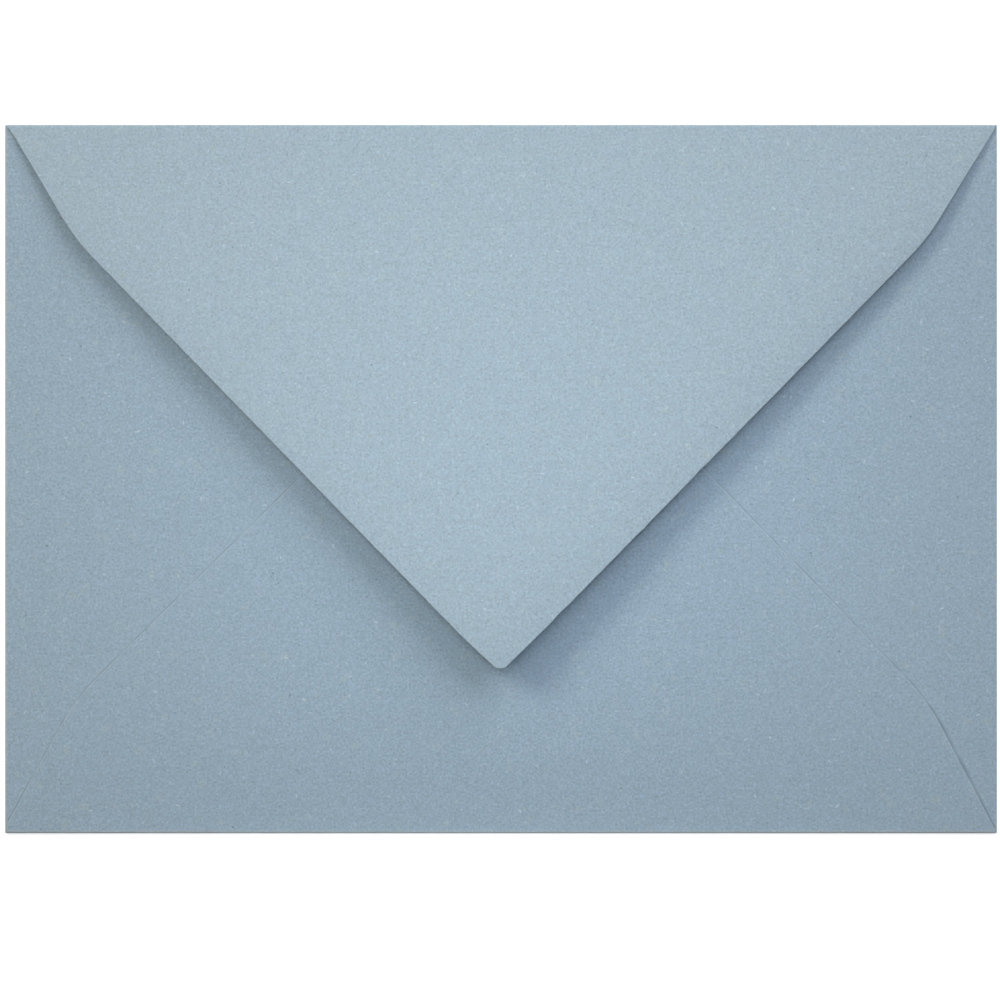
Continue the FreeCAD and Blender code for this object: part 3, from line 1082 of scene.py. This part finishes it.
@dataclass(frozen=True)
class Flecks:
    """One kind of fibre or speck in the pulp: how often it comes, its size and its strength.

    Sizes are in millimetres. A real fibre is 0.02 to 0.04 mm wide, too fine to show here, so
    each is drawn wide enough to stand out as it does in the photograph. By chance it is
    down to the weakest share of its strength, and past the full share of its half length it
    fades out.
    """

    spacing: float
    share: float
    half_length: float
    half_width: float
    strength: float
    bend: float
    shift: float
    weakest: float = 0.3
    full_length: float = 0.5

    def mask(self, tree: Tree, plan: Socket) -> Socket:
        """Add nodes that draw the flecks, one in each cell of a scattered pattern.

        Args:
            tree: the material's node tree.
            plan: places on the flat blank, in metres.

        Returns:
            A socket that is 0 on bare paper and up to the flecks' strength on them.
        """
        moved = add_node(tree, "VectorMath", (plan, (self.shift, self.shift, 0)), operation="ADD")[0]
        cell = add_node(
            tree, "TexVoronoi", {"Vector": moved, "Scale": 1 / (self.spacing * MM), "Randomness": 1.0},
            voronoi_dimensions="2D",
        )
        away = add_node(tree, "VectorMath", (moved, cell["Position"]), operation="SUBTRACT")[0]
        chance = add_node(tree, "SeparateColor", {"Color": cell["Color"]})
        angle = add_node(tree, "Math", (chance[0], math.tau), operation="MULTIPLY")[0]
        turned = add_node(tree, "VectorRotate", {"Vector": away, "Angle": angle}, rotation_type="Z_AXIS")[0]
        place = add_node(tree, "SeparateXYZ", (turned,))
        side = add_node(tree, "Math", (chance[2], 0.5), operation="SUBTRACT")[0]
        bow = add_node(tree, "Math", (side, self.bend / (self.half_length * MM)), operation="MULTIPLY")[0]
        squared = add_node(tree, "Math", (place[0], place[0]), operation="MULTIPLY")[0]
        bowed = add_node(tree, "Math", (squared, bow, place[1]), operation="MULTIPLY_ADD")[0]
        level = (chance[2], self.strength * (1 - self.weakest), self.strength * self.weakest)
        mask = add_node(tree, "Math", level, operation="MULTIPLY_ADD")[0]
        for factor in (
            self.fade(tree, bowed, 0.0, self.half_width),
            self.fade(tree, place[0], self.half_length * self.full_length, self.half_length),
            add_node(tree, "Math", (chance[1], self.share), operation="LESS_THAN")[0],
        ):
            mask = add_node(tree, "Math", (mask, factor), operation="MULTIPLY")[0]
        return mask

    def fade(self, tree: Tree, place: Socket, full: float, gone: float) -> Socket:
        """Add nodes that fall from 1 to 0 between two distances in millimetres."""
        away = add_node(tree, "Math", (place,), operation="ABSOLUTE")[0]
        inputs = (away, full * MM, gone * MM, 1.0, 0.0)
        return add_node(tree, "MapRange", inputs, interpolation_type="SMOOTHSTEP")[0]


@dataclass(frozen=True)
class Mottle:
    """One layer of the sheet's uneven formation: feature size in millimetres and depth."""

    size: float
    depth: float
    detail: float = 0.0
    distortion: float = 0.0
    shift: float = 0.0

    def swing(self, tree: Tree, plan: Socket) -> Socket:
        """Add nodes that swing around 0 by up to the layer's depth.

        Args:
            tree: the material's node tree.
            plan: places on the flat blank, in metres.

        Returns:
            A socket that gives the swing.
        """
        moved = add_node(tree, "VectorMath", (plan, (self.shift, -self.shift, 0)), operation="ADD")[0]
        inputs = {
            "Vector": moved, "Scale": 1 / (self.size * MM), "Detail": self.detail,
            "Roughness": 1.0, "Distortion": self.distortion,
        }
        noise = add_node(tree, "TexNoise", inputs, noise_dimensions="2D")[0]
        return add_node(tree, "Math", (noise, 2 * self.depth, -self.depth), operation="MULTIPLY_ADD")[0]


@dataclass(frozen=True)
class Patches:
    """Scattered soft patches: the peaks of a mottle above a level, up to a strongest share."""

    mottle: Mottle
    level: float
    strongest: float

    def mask(self, tree: Tree, plan: Socket) -> Socket:
        """Add nodes that are 0 between the patches and up to the strongest share on them.

        Args:
            tree: the material's node tree.
            plan: places on the flat blank, in metres.

        Returns:
            A socket that gives the patches' share.
        """
        share = self.mottle.swing(tree, plan)
        for operation, limit in (("SUBTRACT", self.level), ("MAXIMUM", 0.0), ("MINIMUM", self.strongest)):
            share = add_node(tree, "Math", (share, limit), operation=operation)[0]
        return share


@dataclass(frozen=True)
class RecycledPaper:
    """Uncoated recycled paper, pulp-dyed blue-grey and left matt.

    Made on a wire from short mixed fibres: the ground is cloudy and grainy, with patches
    where paler yellowish or bluer fibres gather. Short threads and dots of undyed fibre
    show in it, with a dark speck now and then. A die-cut edge is paler from the undyed cores of
    its raised fibres, with a painted highlight on top where the raised edge catches the light. The
    folds are paler from wear and from painted light that stands in for light from below. The seal
    flap is painted lighter than the pocket, as painted light for the stronger light it catches.
    The paper's real grain is finer than the render can show, so the finest layer is drawn
    at 0.36 mm.
    """

    body: str = "a1b7c7"
    # Painted light: the seal flap's colour, lighter than the pocket's for the stronger light it gets.
    painted_light_flap_body: str = "a7bbc7"
    patch_pale: str = "afc0c3"
    patch_blue: str = "a4b7ca"
    # The cut edges' pale rim: paler cut fibres with a painted highlight.
    cut: str = "b6c7d2"
    # Undyed fibre; on the folds it is also painted light from below, over their wear.
    fibre: str = "d9e5eb"
    speck: str = "4a5a66"
    roughness: float = 0.9
    shine: float = 0.3
    grain: tuple[Mottle, ...] = (
        Mottle(0.36, 0.19, distortion=0.7),
        Mottle(0.80, 0.050, distortion=0.8, shift=0.9),
        Mottle(1.7, 0.026, shift=1.7),
        Mottle(3.6, 0.013, shift=2.9),
        Mottle(8.0, 0.014, detail=1.0, shift=3.7),
    )
    pale_patches: Patches = Patches(Mottle(3.2, 2.2, detail=1.0, shift=5.3), 0.75, 0.46)
    blue_patches: Patches = Patches(Mottle(4.2, 0.9, detail=1.0, shift=8.1), 0.0, 0.20)
    threads: tuple[Flecks, ...] = (
        Flecks(1.3, 0.75, 0.38, 0.12, 0.18, 0.5, 0.3),
        Flecks(1.9, 0.55, 0.42, 0.13, 0.32, 0.6, 1.7),
        Flecks(2.1, 0.55, 0.17, 0.16, 0.54, 0.0, 3.1),
        Flecks(6.4, 0.50, 0.42, 0.16, 0.80, 0.7, 4.3),
    )
    specks: tuple[Flecks, ...] = (
        Flecks(2.2, 0.60, 0.20, 0.15, 0.26, 0.0, 5.9),
        Flecks(12.0, 0.45, 0.26, 0.18, 0.80, 0.0, 7.3),
    )
    tooth: Mottle = Mottle(0.5, 0.5, detail=1.0, shift=9.4)
    tooth_height: float = 0.006

    def surface(self, tree: Tree) -> Socket:
        """Add the paper's surface, from its body colour to its worn edges.

        Args:
            tree: the material's node tree.

        Returns:
            The surface's socket.
        """
        plan = add_node(tree, "UVMap", {}, uv_map="blank")["UV"]
        marks = {mark: add_node(tree, "Attribute", {}, attribute_name=mark.value)["Fac"] for mark in Mark}
        colour = cover(tree, linear(self.body), [
            # The seal flap is painted lighter: painted light for the stronger light it catches.
            (marks[Mark.PAINTED_FLAP_LIGHT], self.painted_light_flap_body),
            (self.pale_patches.mask(tree, plan), self.patch_pale),
            (self.blue_patches.mask(tree, plan), self.patch_blue),
        ])
        tone = 1.0
        for layer in self.grain:
            tone = add_node(tree, "Math", (layer.swing(tree, plan), tone), operation="ADD")[0]
        colour = add_node(tree, "VectorMath", {0: colour, "Scale": tone}, operation="SCALE")[0]
        colour = cover(tree, colour, [
            *((kind.mask(tree, plan), self.fibre) for kind in self.threads),
            *((kind.mask(tree, plan), self.speck) for kind in self.specks),
            # Painted highlight on the cut edges over paler fibres, and painted light on the worn folds.
            (marks[Mark.CUT], self.cut),
            (marks[Mark.WORN_AND_LIT_FOLD], self.fibre),
        ])
        tooth = {"Height": self.tooth.swing(tree, plan), "Distance": self.tooth_height * MM}
        return add_node(tree, "BsdfPrincipled", {
            "Base Color": colour, "Roughness": self.roughness, "Specular IOR Level": self.shine,
            "Normal": add_node(tree, "Bump", tooth)[0],
        })[0]


def seen(tree: Tree) -> Socket:
    """Add nodes that are 1 for the camera, for reflections and for light through glass.

    Args:
        tree: a material's or the world's node tree.

    Returns:
        The socket that gives 1 there and 0 for all other light.
    """
    path = add_node(tree, "LightPath", {})
    share = path["Is Camera Ray"]
    for other in ("Is Glossy Ray", "Is Transmission Ray"):
        share = add_node(tree, "Math", (share, path[other]), operation="MAXIMUM")[0]
    return share


@dataclass(frozen=True)
class PaleFloor:
    """Matt floor that looks white and lights nothing more: it glows only for what sees it."""

    colour: str = "e6e6e6"
    glow: float = 0.75

    def surface(self, tree: Tree) -> Socket:
        """Add the matt surface and its glow.

        Args:
            tree: the material's node tree.

        Returns:
            The surface's socket.
        """
        matt = add_node(tree, "BsdfDiffuse", {"Color": linear(self.colour)})[0]
        strength = add_node(tree, "Math", (seen(tree), self.glow), operation="MULTIPLY")[0]
        glow = add_node(tree, "Emission", {"Strength": strength})[0]
        return add_node(tree, "AddShader", (matt, glow))[0]


@dataclass(frozen=True)
class Lamp:
    """A soft studio lamp: where it stands, seen from the envelope, and its light."""

    name: str
    azimuth: float
    elevation: float
    distance: float
    size: float
    power: float
    colour: str
    spread: float = 180.0

    def build(self, target: Vector) -> bpy.types.Object:
        """Make the lamp, turned to its target.

        Args:
            target: the place that the azimuth, elevation and distance start from. Azimuth
                0 is +Y and 90 is +X.

        Returns:
            The new lamp.
        """
        data = bpy.data.lights.new(self.name, "AREA")
        data.shape = "SQUARE"
        data.size = self.size
        data.energy = self.power
        data.color = linear(self.colour)[:3]
        data.spread = math.radians(self.spread)
        turn, rise = math.radians(self.azimuth), math.radians(self.elevation)
        away = Vector((
            math.sin(turn) * math.cos(rise), math.cos(turn) * math.cos(rise), math.sin(rise),
        ))
        lamp = add_object(self.name, data)
        lamp.location = target + away * self.distance
        lamp.rotation_mode = "QUATERNION"
        lamp.rotation_quaternion = (-away).to_track_quat("-Z", "Y")
        lamp.visible_camera = False
        return lamp


@dataclass(frozen=True)
class Studio:
    """Plain pale floor, two soft lamps above the upper corners, a weak one overhead and a fill."""

    lamps: tuple[Lamp, ...] = (
        Lamp("lamp_upper_left", -54.0, 41.0, 0.9, 0.32, 3.68, "fff9ec"),
        Lamp("lamp_upper_right", 37.0, 41.0, 0.9, 0.70, 5.12, "f8f9ff"),
        Lamp("lamp_overhead", 0.0, 90.0, 0.25, 0.10, 0.0242, "e8f4ff", spread=60.0),
    )
    fill: str = "ffffff"
    fill_strength: float = 0.05
    floor_side: float = 4.0
    floor_drop: float = 0.00002

    def add_floor(self) -> None:
        """Add the floor, which looks white and keeps the envelope's shadow."""
        half = self.floor_side / 2
        corners = [(-half, -half), (half, -half), (half, half), (-half, half)]
        data = bpy.data.meshes.new("floor")
        data.from_pydata([(x, y, -self.floor_drop) for x, y in corners], [], [(0, 1, 2, 3)])
        data.materials.append(add_material("pale_floor", PaleFloor().surface))
        add_object("floor", data)

    def add_world(self) -> None:
        """Add the fill light, and plain white behind everything for the camera."""
        world = bpy.data.worlds.new("studio")
        world.use_nodes = True
        tree = world.node_tree
        tree.nodes.clear()
        fill = add_node(tree, "Background", {"Color": linear(self.fill), "Strength": self.fill_strength})[0]
        white = add_node(tree, "Background", {"Color": (1, 1, 1, 1), "Strength": 1.0})[0]
        both = add_node(tree, "MixShader", (seen(tree), fill, white))[0]
        add_node(tree, "OutputWorld", {"Surface": both})
        bpy.context.scene.world = world

    def build(self, target: Vector) -> None:
        """Set up the whole studio.

        Args:
            target: the place that the lamps are turned to.
        """
        self.add_floor()
        self.add_world()
        for lamp in self.lamps:
            lamp.build(target)


@dataclass(frozen=True)
class PhotoCamera:
    """Camera straight above the envelope, with the photograph's framing.

    The pixel places of the envelope's outline are in the photograph's frame.
    """

    picture_side: float = 1000.0
    outline_left: float = 5.08
    outline_right: float = 996.94
    outline_top: float = 124.7
    outline_bottom: float = 833.4
    lens: float = 300.0
    sensor: float = 36.0

    def build(self, paper: Format) -> bpy.types.Object:
        """Make the camera and give it to the scene.

        Args:
            paper: the envelope's format, which gives the scale.

        Returns:
            The new camera.
        """
        pixel = paper.width / (self.outline_right - self.outline_left)
        centre_x = (self.outline_left + self.outline_right) / 2
        centre_y = (self.outline_top + self.outline_bottom) / 2
        middle = self.picture_side / 2
        half_tan = self.sensor / 2 / self.lens
        distance = middle * pixel / half_tan
        data = bpy.data.cameras.new("photo_camera")
        data.lens = self.lens
        data.sensor_width = self.sensor
        data.clip_start = 0.1
        data.clip_end = 20.0
        camera = add_object("photo_camera", data)
        camera.location = (
            (middle - centre_x) * pixel * MM,
            (centre_y - middle) * pixel * MM,
            (distance + paper.seal_fold) * MM,
        )
        bpy.context.scene.camera = camera
        return camera


def main() -> None:
    """Build the envelope and its studio, and report each piece."""
    logging.basicConfig(level=logging.INFO, format="%(message)s")
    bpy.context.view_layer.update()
    bpy.context.scene.view_settings.view_transform = "Standard"
    low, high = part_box(SHEET_NODE)
    paper = Format(width=(high.x - low.x) / MM, height=(high.y - low.y) / MM)
    PhotoCamera().build(paper)
    Studio().build(Vector((0, 0, 0)))
    envelope = EnvelopeSheet(paper)
    flaps = envelope.flaps()
    sheet = envelope.build(flaps)
    # A dark bead of painted shade along each seam.
    seam_shade = SeamShadeBead().build(flaps[:2], flaps[2])
    for piece in (sheet, seam_shade):
        triangles = sum(len(face.vertices) - 2 for face in piece.data.polygons)
        REPORT.info("piece %s: %d triangles", piece.name, triangles)


if __name__ == "__main__":
    main()
